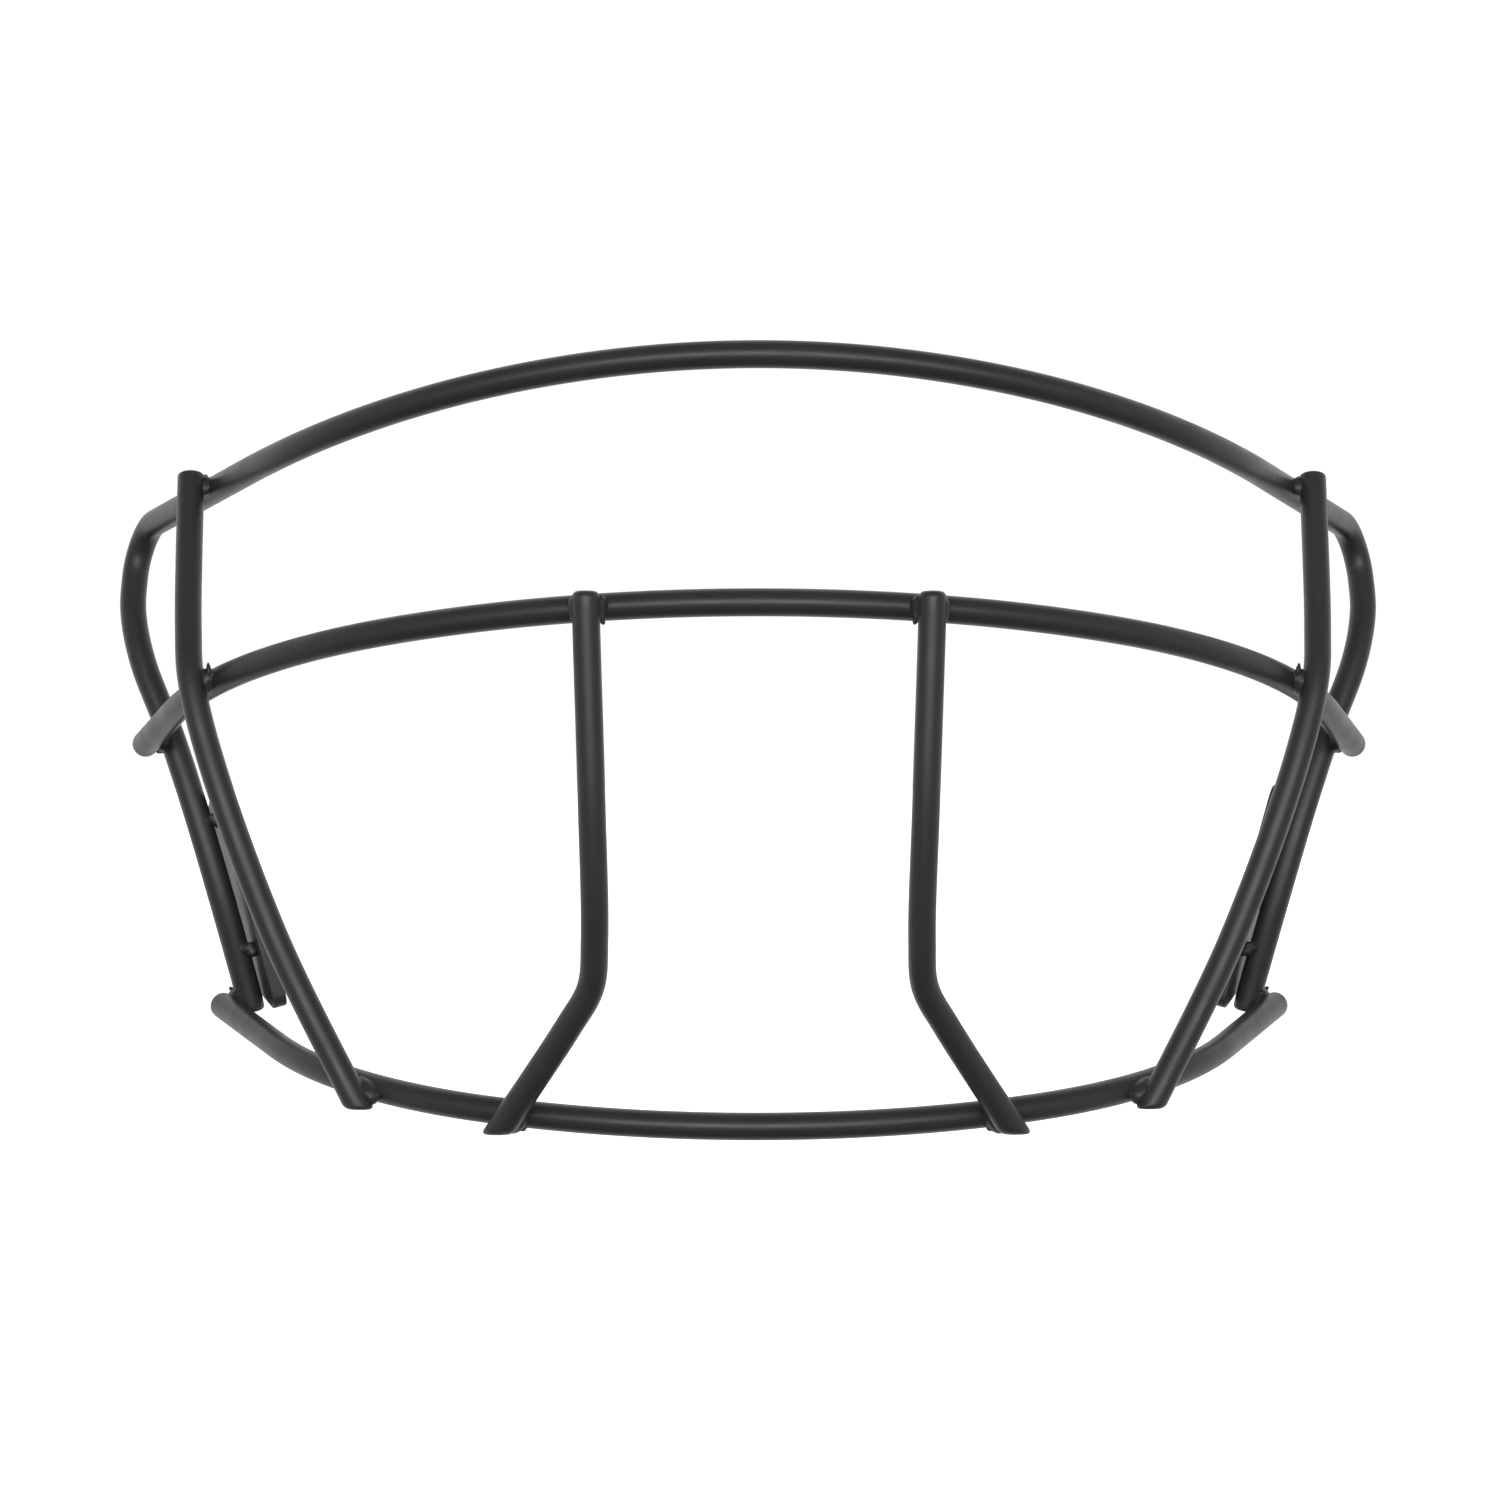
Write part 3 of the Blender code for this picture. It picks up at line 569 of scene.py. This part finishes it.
def weld_piece(node, bodies, add_metal, material):
    """Weld metal that flows on to the pieces it joins.

    The metal is fused with stretches of those pieces and smoothed, which rounds the corners between
    them, and then the stretches are cut away. Each body adds the given stretch of its piece to a mesh.
    """
    builder = bmesh.new()
    for add_body in bodies:
        add_body(builder, FUSED)
    add_metal(builder)
    obj = mesh_object("coated_" + node, builder, material)
    fuse = obj.modifiers.new("fuse", "REMESH")
    fuse.mode = "VOXEL"
    fuse.voxel_size = WELD_VOXEL
    flow = obj.modifiers.new("flow", "SMOOTH")
    flow.factor = WELD_FLOW
    flow.iterations = WELD_SMOOTHING
    cutters = []
    for add_body in bodies:
        cutter = bmesh.new()
        add_body(cutter, CUT_AWAY)
        cutters.append(mesh_object("cutter", cutter, None))
        cut = obj.modifiers.new("clear", "BOOLEAN")
        cut.operation = "DIFFERENCE"
        cut.solver = "MANIFOLD"
        cut.object = cutters[-1]
    applied(obj)
    for cutter in cutters:
        bpy.data.objects.remove(cutter)
    obj.data.materials.clear()
    obj.data.materials.append(material)
    obj.data.shade_smooth()
    finish_piece(obj, node)


def heading_near(route, point):
    """Direction of a route where it passes nearest to the point."""
    nearest = min(range(len(route)), key=lambda i: (route[i] - point).length)
    return (route[min(nearest + 1, len(route) - 1)] - route[nearest - 1]).normalized()


def crossing_weld(node, place, crossing, direction, routes, seed, material):
    """Weld where two rods touch, built from the beads and lumps that its place on the guard has.

    The routes are those of the rod and of the bar that it crosses.
    """
    rod_point, bar_point = crossing
    contact = (rod_point + bar_point) / 2
    out = (rod_point - bar_point).normalized()
    along = (direction - out * direction.dot(out)).normalized()
    across = along.cross(out)
    if across.x * contact.x + across.y * contact.y > 0:
        across = -across
    axes = (along, across, out)
    bar_heading = heading_near(routes[1], bar_point)

    def add_metal(builder):
        add_lump(builder, contact, axes, CORE, seed)
        for bead in CROSSING_BEADS[place]:
            add_bead(builder, bead, crossing, axes, bar_heading, seed + bead.side)
        for i, lump in enumerate(CROSSING_LUMPS[place]):
            centre = contact + (along * lump.along + across * lump.across + out * lump.out) * MM
            half_sizes = [half * MM for half in (lump.half_along, lump.half_across, lump.half_out)]
            add_lump(builder, centre, axes, half_sizes, seed + LUMP_SEED_STEP * i)

    bodies = [partial(add_arm, route=route, centre=contact) for route in routes]
    weld_piece(node, bodies, add_metal, material)


def plate_weld(node, wire, seat, axes, route, seed, material):
    """Fillet in the front corner between the side wire and a plate's outer face."""
    inward, back, _ = axes
    on_face = wire + inward * (seat - wire).dot(inward)
    middle = on_face - inward * PLATE_WELD_PROUD + back * PLATE_WELD_SETBACK
    turn = Matrix(axes).transposed()

    def add_metal(builder):
        for i, (offset, half_sizes) in enumerate(PLATE_LUMPS):
            add_lump(builder, middle + turn @ offset * MM, axes, [half * MM for half in half_sizes],
                     seed + LUMP_SEED_STEP * i)

    bodies = (partial(add_arm, route=route, centre=wire),
              partial(add_plate_patch, centre=on_face, axes=axes))
    weld_piece(node, bodies, add_metal, material)


# ---------------------------------------------------------------- mounting plates
def plate_outline():
    """Corners of the plate as (back, up) from its centre, with rounded corners."""
    half_front = PLATE_FRONT_HEIGHT / 2
    half_back = half_front - (PLATE_BACK - PLATE_FRONT) * math.tan(PLATE_END_SLOPE)
    corners = [Vector((PLATE_FRONT, -half_front)), Vector((PLATE_BACK, -half_back)),
               Vector((PLATE_BACK, half_back)), Vector((PLATE_FRONT, half_front))]
    outline = []
    for i, corner in enumerate(corners):
        to_before = (corners[i - 1] - corner).normalized()
        to_after = (corners[(i + 1) % len(corners)] - corner).normalized()
        half_angle = to_before.angle(to_after) / 2
        centre = corner + (to_before + to_after).normalized() * (PLATE_CORNER_RADIUS
                                                                 / math.sin(half_angle))
        start = corner + to_before * (PLATE_CORNER_RADIUS / math.tan(half_angle)) - centre
        for k in range(PLATE_CORNER_STEPS + 1):
            angle = (math.pi - 2 * half_angle) * k / PLATE_CORNER_STEPS
            outline.append(centre + Matrix.Rotation(angle, 2) @ start)
    return outline


def plate_axes():
    """Back, up and inward directions of the right-hand plate."""
    up = Vector((math.sin(PLATE_LEAN), 0.0, math.cos(PLATE_LEAN)))
    back = Vector((math.sin(PLATE_FLARE), math.cos(PLATE_FLARE), 0.0))
    back = (back - up * back.dot(up)).normalized()
    return back, up, up.cross(back)


def wire_point_at_height(route, height):
    """Where a route that runs downwards passes a height."""
    for above, below in zip(route, route[1:]):
        if above.z >= height >= below.z:
            return above.lerp(below, (above.z - height) / (above.z - below.z))
    raise ValueError("the side wire doesn't reach this height")


def plate_seat(side_wire):
    """Centre of the outer face of the right-hand plate, laid against the side wire."""
    back, up, inward = plate_axes()
    centre = wire_point_at_height(side_wire, PLATE_CENTRE_HEIGHT)
    beside = [p - centre for p in side_wire if abs((p - centre).dot(up)) < PLATE_FRONT_HEIGHT / 2]
    reach = max(offset.dot(inward) for offset in beside)
    return centre + inward * (max(reach, 0.0) + ROD_RADIUS + GAP)


def slab(name, corners, axes, seat, thickness, material):
    """Flat outline given as (back, up), thickened along the third axis."""
    back, up, inward = axes
    builder = bmesh.new()
    outer, inner = [[builder.verts.new(seat + back * c.x + up * c.y + inward * depth) for c in corners]
                    for depth in (0.0, thickness)]
    for k in range(len(corners)):
        after = (k + 1) % len(corners)
        builder.faces.new((outer[k], outer[after], inner[after], inner[k]))
    builder.faces.new(list(reversed(outer)))
    builder.faces.new(inner)
    bmesh.ops.recalc_face_normals(builder, faces=builder.faces)
    return mesh_object(name, builder, material)


def plate_piece(node, seat, axes, material):
    """Mounting plate with a screw hole and edges that the coat has rounded."""
    plate = slab("coated_" + node, plate_outline(), axes, seat, PLATE_THICKNESS, material)
    drill = [Vector((SCREW_HOLE_BACK + SCREW_HOLE_RADIUS * math.cos(2 * math.pi * k / SCREW_HOLE_SIDES),
                     SCREW_HOLE_RADIUS * math.sin(2 * math.pi * k / SCREW_HOLE_SIDES)))
             for k in range(SCREW_HOLE_SIDES)]
    cutter = slab("drill", drill, axes, seat - axes[2] * PLATE_THICKNESS, 3 * PLATE_THICKNESS, None)
    hole = plate.modifiers.new("hole", "BOOLEAN")
    hole.operation = "DIFFERENCE"
    hole.object = cutter
    bevel = plate.modifiers.new("rounding", "BEVEL")
    bevel.width = PLATE_EDGE_BEVEL
    bevel.segments = PLATE_BEVEL_SEGMENTS
    bevel.limit_method = "ANGLE"
    bevel.angle_limit = PLATE_BEVEL_ANGLE
    bevel.harden_normals = True
    plate.data.shade_smooth()
    applied(plate)
    bpy.data.objects.remove(cutter)
    finish_piece(plate, node)


# ---------------------------------------------------------------- powder coat
# A coat's darkest and lightest tone, its mean roughness and how deep its orange peel looks.
Coat = namedtuple("Coat", "dark light roughness peel_strength")
COATS = {
    "rod_coat": Coat((0.0255, 0.0255, 0.0262), (0.033, 0.033, 0.034), 0.42, 0.30),
    "plate_coat": Coat((0.0235, 0.0235, 0.0242), (0.031, 0.031, 0.032), 0.46, 0.40),
    "weld_coat": Coat((0.0235, 0.0235, 0.0242), (0.034, 0.034, 0.035), 0.44, 0.55),
}
# A layer of noise: how large its blotches are, how finely it is detailed, and which stretch of its
# values is spread over the whole range of what it drives.
Layer = namedtuple("Layer", "size detail low high")
CLOUD = Layer(22 * MM, 2.0, 0.35, 0.65)
CLOUD_SHARE = 0.6                # of the way from the dark to the light tone
GRAIN = Layer(0.45 * MM, 2.0, 0.3, 0.7)
GRAIN_SHARE = 0.4
RUB = Layer(0.9 * MM, 4.0, 0.42, 0.62)
RUB_COLOUR = (0.075, 0.074, 0.072)
RUB_STRENGTH = 0.55
RUB_ROUGHENS = 0.15              # rubbed places are rougher by this much
DUST = Layer(0.4 * MM, 0.0, 0.86, 0.92)
DUST_COLOUR = (0.25, 0.24, 0.22)
DUST_STRENGTH = 0.3
GLOSS = Layer(6 * MM, 2.0, 0.3, 0.7)
GLOSS_VARIES = 0.04
PEEL_SIZE = 1.3 * MM
FINE_PEEL_SIZE = 0.35 * MM
FINE_PEEL_SHARE = 0.35
PEEL_DEPTH = 0.06 * MM


class NodeWriter:
    """Adds nodes to a tree; an input is a number, a colour or another node's output."""

    def __init__(self, tree):
        self.tree = tree

    def add(self, kind, inputs, output=0, **settings):
        node = self.tree.nodes.new(kind)
        for name, value in settings.items():
            setattr(node, name, value)
        for name, value in inputs.items():
            self.put(value, node.inputs[name])
        return node.outputs[output]

    def put(self, value, socket):
        if isinstance(value, bpy.types.NodeSocket):
            self.tree.links.new(value, socket)
        elif isinstance(value, tuple):
            socket.default_value = (*value, 1.0)
        else:
            socket.default_value = value

    def spread(self, value, low, high, new_low, new_high, curve="LINEAR"):
        return self.add("ShaderNodeMapRange", {"Value": value, "From Min": low, "From Max": high,
                                               "To Min": new_low, "To Max": new_high},
                        interpolation_type=curve)

    def calc(self, operation, first, second):
        return self.add("ShaderNodeMath", {0: first, 1: second}, operation=operation)

    def blend(self, share, first, second):
        node = self.tree.nodes.new("ShaderNodeMix")
        node.data_type = "RGBA"
        colour_inputs = [socket for socket in node.inputs if socket.type == "RGBA"]
        self.put(share, node.inputs["Factor"])
        self.put(first, colour_inputs[0])
        self.put(second, colour_inputs[1])
        return next(socket for socket in node.outputs if socket.type == "RGBA")


def coat_material(name, coat):
    """Satin powder coat: cloudy colour, orange peel, dust flecks, and rubbed edges at the cut ends."""
    material = bpy.data.materials.new(name)
    material.use_nodes = True
    write = NodeWriter(material.node_tree)
    shader = material.node_tree.nodes["Principled BSDF"]
    place = write.add("ShaderNodeTexCoord", {}, "Object")

    def noise_of(size, detail=2.0):
        return write.add("ShaderNodeTexNoise", {"Vector": place, "Scale": 1.0 / size, "Detail": detail})

    def layer(kind, lowest, highest):
        return write.spread(noise_of(kind.size, kind.detail), kind.low, kind.high, lowest, highest)

    cloud = layer(CLOUD, 0.0, 1.0)
    grain = layer(GRAIN, 0.0, 1.0)
    tone = write.calc("ADD", write.calc("MULTIPLY", cloud, CLOUD_SHARE),
                      write.calc("MULTIPLY", grain, GRAIN_SHARE))
    colour = write.blend(tone, coat.dark, coat.light)
    wear = write.add("ShaderNodeAttribute", {}, "Fac", attribute_name="wear")
    patchy = layer(RUB, 0.0, 1.0)
    rubbed = write.calc("MULTIPLY", write.calc("MULTIPLY", wear, patchy), RUB_STRENGTH)
    colour = write.blend(rubbed, colour, RUB_COLOUR)
    fleck = layer(DUST, 0.0, DUST_STRENGTH)
    colour = write.blend(fleck, colour, DUST_COLOUR)
    write.put(colour, shader.inputs["Base Color"])
    gloss = layer(GLOSS, coat.roughness - GLOSS_VARIES, coat.roughness + GLOSS_VARIES)
    gloss = write.calc("ADD", gloss, write.calc("MULTIPLY", rubbed, RUB_ROUGHENS))
    write.put(gloss, shader.inputs["Roughness"])
    height = write.calc("ADD", noise_of(PEEL_SIZE),
                        write.calc("MULTIPLY", noise_of(FINE_PEEL_SIZE), FINE_PEEL_SHARE))
    peel = write.add("ShaderNodeBump", {"Strength": coat.peel_strength, "Distance": PEEL_DEPTH,
                                        "Height": height}, "Normal")
    write.put(peel, shader.inputs["Normal"])
    return material


# ---------------------------------------------------------------- camera, floor and light
CAMERA_DISTANCE = 1.3            # metres from the routes' origin
CAMERA_YAW = math.radians(1.0)
CAMERA_ASIDE = 1.6 * MM
CAMERA_LENS = 175.9              # Blender gives the lens and the sensor in millimetres
CAMERA_SENSOR = 36.0
CAMERA_REACH = 50.0              # metres
FLOOR_HALF = 12.0                # metres
FLOOR_GAP = 0.5 * MM
FLOOR_COLOUR = (0.8, 0.8, 0.8)
FLOOR_ROUGHNESS = 0.9
FLOOR_GLOW = 0.9
WHITE = (1.0, 1.0, 1.0)
BACKDROP_STRENGTH = 1.05


def add_camera():
    """Camera straight in front of the guard, with a long lens and a slight turn."""
    forward = Vector((math.sin(CAMERA_YAW), math.cos(CAMERA_YAW), 0.0))
    aside = Vector((-math.cos(CAMERA_YAW), math.sin(CAMERA_YAW), 0.0))
    camera = bpy.data.cameras.new("camera")
    camera.lens = CAMERA_LENS
    camera.sensor_width = CAMERA_SENSOR
    camera.clip_end = CAMERA_REACH
    obj = bpy.data.objects.new("camera", camera)
    obj.location = SHIFT - forward * CAMERA_DISTANCE + aside * CAMERA_ASIDE
    obj.rotation_euler = forward.to_track_quat("-Z", "Y").to_euler()
    bpy.context.scene.collection.objects.link(obj)
    bpy.context.scene.camera = obj


def add_floor():
    """White studio floor that glows enough to meet the white surroundings."""
    height = CAD_BOUNDS[0][2] - FLOOR_GAP
    builder = bmesh.new()
    builder.faces.new([builder.verts.new((x * FLOOR_HALF, y * FLOOR_HALF, height))
                       for x, y in ((-1, -1), (1, -1), (1, 1), (-1, 1))])
    material = bpy.data.materials.new("pale_floor")
    material.use_nodes = True
    write = NodeWriter(material.node_tree)
    shader = material.node_tree.nodes["Principled BSDF"]
    write.put(FLOOR_COLOUR, shader.inputs["Base Color"])
    write.put(FLOOR_ROUGHNESS, shader.inputs["Roughness"])
    write.put(WHITE, shader.inputs["Emission Color"])
    write.put(FLOOR_GLOW, shader.inputs["Emission Strength"])
    floor = mesh_object("floor", builder, material)
    floor.visible_glossy = False
    floor.visible_diffuse = False


# The studio's parts by strength: a light straight ahead, the softer bank round it, the white walls
# behind, the overhead and the sides, and what is all round.
FRONT_CORE = 8.3
FRONT_BANK = 1.3
BACK_WALLS = 1.35
OVERHEAD = 0.11
SIDE_WALLS = 0.48
ALL_ROUND = 0.13
# Where each of them begins and where it has its full strength, as the part of a direction that points
# back (negative: to the front), up or to a side.
HORIZON_UP = (-0.08, 0.06)
CORE_BACK = (-0.80, -0.97)
CORE_UP = (0.30, 0.15)
BANK_BACK = (-0.55, -0.82)
BANK_UP = (0.45, 0.30)
WALLS_BACK = (0.05, 0.75)
WALLS_ASIDE = (0.60, 0.95)
OVERHEAD_UP = (0.30, 0.90)


def add_world():
    """Studio round the guard, which the coat reflects; the camera sees plain white instead."""

    def fade(part, limits, weakest, strongest):
        return write.spread(part, *limits, weakest, strongest, "SMOOTHSTEP")

    world = bpy.data.worlds.new("studio")
    bpy.context.scene.world = world
    world.use_nodes = True
    world.node_tree.nodes.clear()
    write = NodeWriter(world.node_tree)
    direction = write.add("ShaderNodeTexCoord", {}, "Generated")
    split = world.node_tree.nodes.new("ShaderNodeSeparateXYZ")
    write.put(direction, split.inputs[0])
    back = split.outputs["Y"]
    up = split.outputs["Z"]

    rising = fade(up, HORIZON_UP, 0.0, 1.0)
    core = write.calc("MULTIPLY", fade(back, CORE_BACK, 0.0, 1.0), fade(up, CORE_UP, 0.0, FRONT_CORE))
    bank = write.calc("MULTIPLY", fade(back, BANK_BACK, 0.0, 1.0), fade(up, BANK_UP, 0.0, FRONT_BANK))
    front = write.calc("MULTIPLY", rising, write.calc("ADD", core, bank))
    aside = write.add("ShaderNodeMath", {0: split.outputs["X"]}, operation="ABSOLUTE")
    walls = write.calc("ADD", fade(back, WALLS_BACK, ALL_ROUND, ALL_ROUND + BACK_WALLS),
                       fade(aside, WALLS_ASIDE, 0.0, SIDE_WALLS))
    walls = write.calc("ADD", walls, fade(up, OVERHEAD_UP, 0.0, OVERHEAD))
    studio = write.add("ShaderNodeBackground", {"Strength": write.calc("ADD", front, walls)})
    white = write.add("ShaderNodeBackground", {"Color": WHITE, "Strength": BACKDROP_STRENGTH})
    seen = write.add("ShaderNodeLightPath", {}, "Is Camera Ray")
    surface = write.add("ShaderNodeMixShader", {0: seen, 1: studio, 2: white})
    output = world.node_tree.nodes.new("ShaderNodeOutputWorld")
    write.put(surface, output.inputs["Surface"])


# ---------------------------------------------------------------- the guard
# Routes of the three bars over their whole width and of the right-hand rods, the right-hand side wire's
# stretch of the perimeter, and the right-hand crossings by place, as (rod point, bar point).
Routes = namedtuple("Routes", "perimeter middle lower outer inner side_wire crossings")
# Which rod crosses which bar at each place, and the direction that the rod has there.
CROSSINGS = {
    "outer_brow": ("outer", "perimeter", OUTER_TOP_HEADING),
    "outer_middle": ("outer", "middle", UP),
    "outer_lower": ("outer", "lower", OUTER_BELOW_BEND - OUTER_LOWER_THIRD),
    "inner_middle": ("inner", "middle", UP),
    "inner_lower": ("inner", "lower", INNER_BEND - INNER_BELOW_BEND),
    "side_middle": ("perimeter", "middle", SIDE_WIRE_UPPER - SIDE_WIRE_BELLY),
    "side_lower": ("perimeter", "lower", -SIDE_WIRE_END_HEADING),
}


def guard_routes():
    """Routes of all rods, with the places where they cross."""
    brow = brow_half()
    middle = crossbar_half(MIDDLE_BAR)
    lower = crossbar_half(LOWER_BAR)
    perimeter, side_wire, *side_crossings = perimeter_half(middle, lower)
    outer, *outer_crossings = outer_vertical(brow, middle, lower)
    inner, *inner_crossings = inner_vertical(middle, lower)
    # The lists run down each rod, in the order of CROSSINGS.
    crossings = dict(zip(CROSSINGS, outer_crossings + inner_crossings + side_crossings))
    return Routes(both_halves(perimeter), both_halves(middle), both_halves(lower), outer, inner, side_wire,
                  crossings)


def build_bars(routes, coat):
    """The three rods that run from side to side."""
    rod_piece("perimeter_wire", routes.perimeter, coat, (WIRE_TIP_ROUNDING, WIRE_TIP_ROUNDING))
    rod_piece("middle_crossbar", routes.middle, coat, (BAR_END_ROUNDING, BAR_END_ROUNDING))
    rod_piece("lower_crossbar", routes.lower, coat, (BAR_END_ROUNDING, BAR_END_ROUNDING))


def build_side(side, flip, routes, coats, seed):
    """Verticals, plate and welds of one side; flip turns right-hand places into this side's.

    The seed makes each weld a little different. The next free one is returned.
    """
    outer = [flip @ p for p in routes.outer]
    inner = [flip @ p for p in routes.inner]
    rod_piece("outer_vertical_" + side, outer, coats["rod_coat"], (OUTER_TOP_ROUNDING, BOTTOM_ROUNDING),
              OUTER_BOTTOM_HEIGHT)
    rod_piece("inner_vertical_" + side, inner, coats["rod_coat"], (INNER_TOP_ROUNDING, BOTTOM_ROUNDING),
              INNER_BOTTOM_HEIGHT)
    rods = {"outer": outer, "inner": inner, "perimeter": routes.perimeter, "middle": routes.middle,
            "lower": routes.lower}
    rods = {name: even_route(route, ROUTE_STEP) for name, route in rods.items()}
    for place, (rod, bar, direction) in CROSSINGS.items():
        crossing_weld("weld_" + place + "_" + side, place, [flip @ p for p in routes.crossings[place]],
                      flip @ direction, (rods[rod], rods[bar]), seed, coats["weld_coat"])
        seed += 1
    back, up, inward = [flip @ axis for axis in plate_axes()]
    seat = flip @ plate_seat(routes.side_wire)
    plate_piece("mounting_plate_" + side, seat, (back, up, inward), coats["plate_coat"])
    for place, height in PLATE_WELD_HEIGHTS.items():
        wire = flip @ wire_point_at_height(routes.side_wire, height)
        plate_weld("weld_plate_" + place + "_" + side, wire, seat, (inward, back, up), rods["perimeter"],
                   seed, coats["weld_coat"])
        seed += 1
    return seed


def build_guard():
    """All 27 pieces, in their coats."""
    coats = {name: coat_material(name, coat) for name, coat in COATS.items()}
    routes = guard_routes()
    build_bars(routes, coats["rod_coat"])
    seed = 1
    for side, flip in SIDES:
        seed = build_side(side, flip, routes, coats, seed)


build_guard()
add_camera()
add_floor()
add_world()
bpy.context.scene.view_settings.view_transform = "Standard"
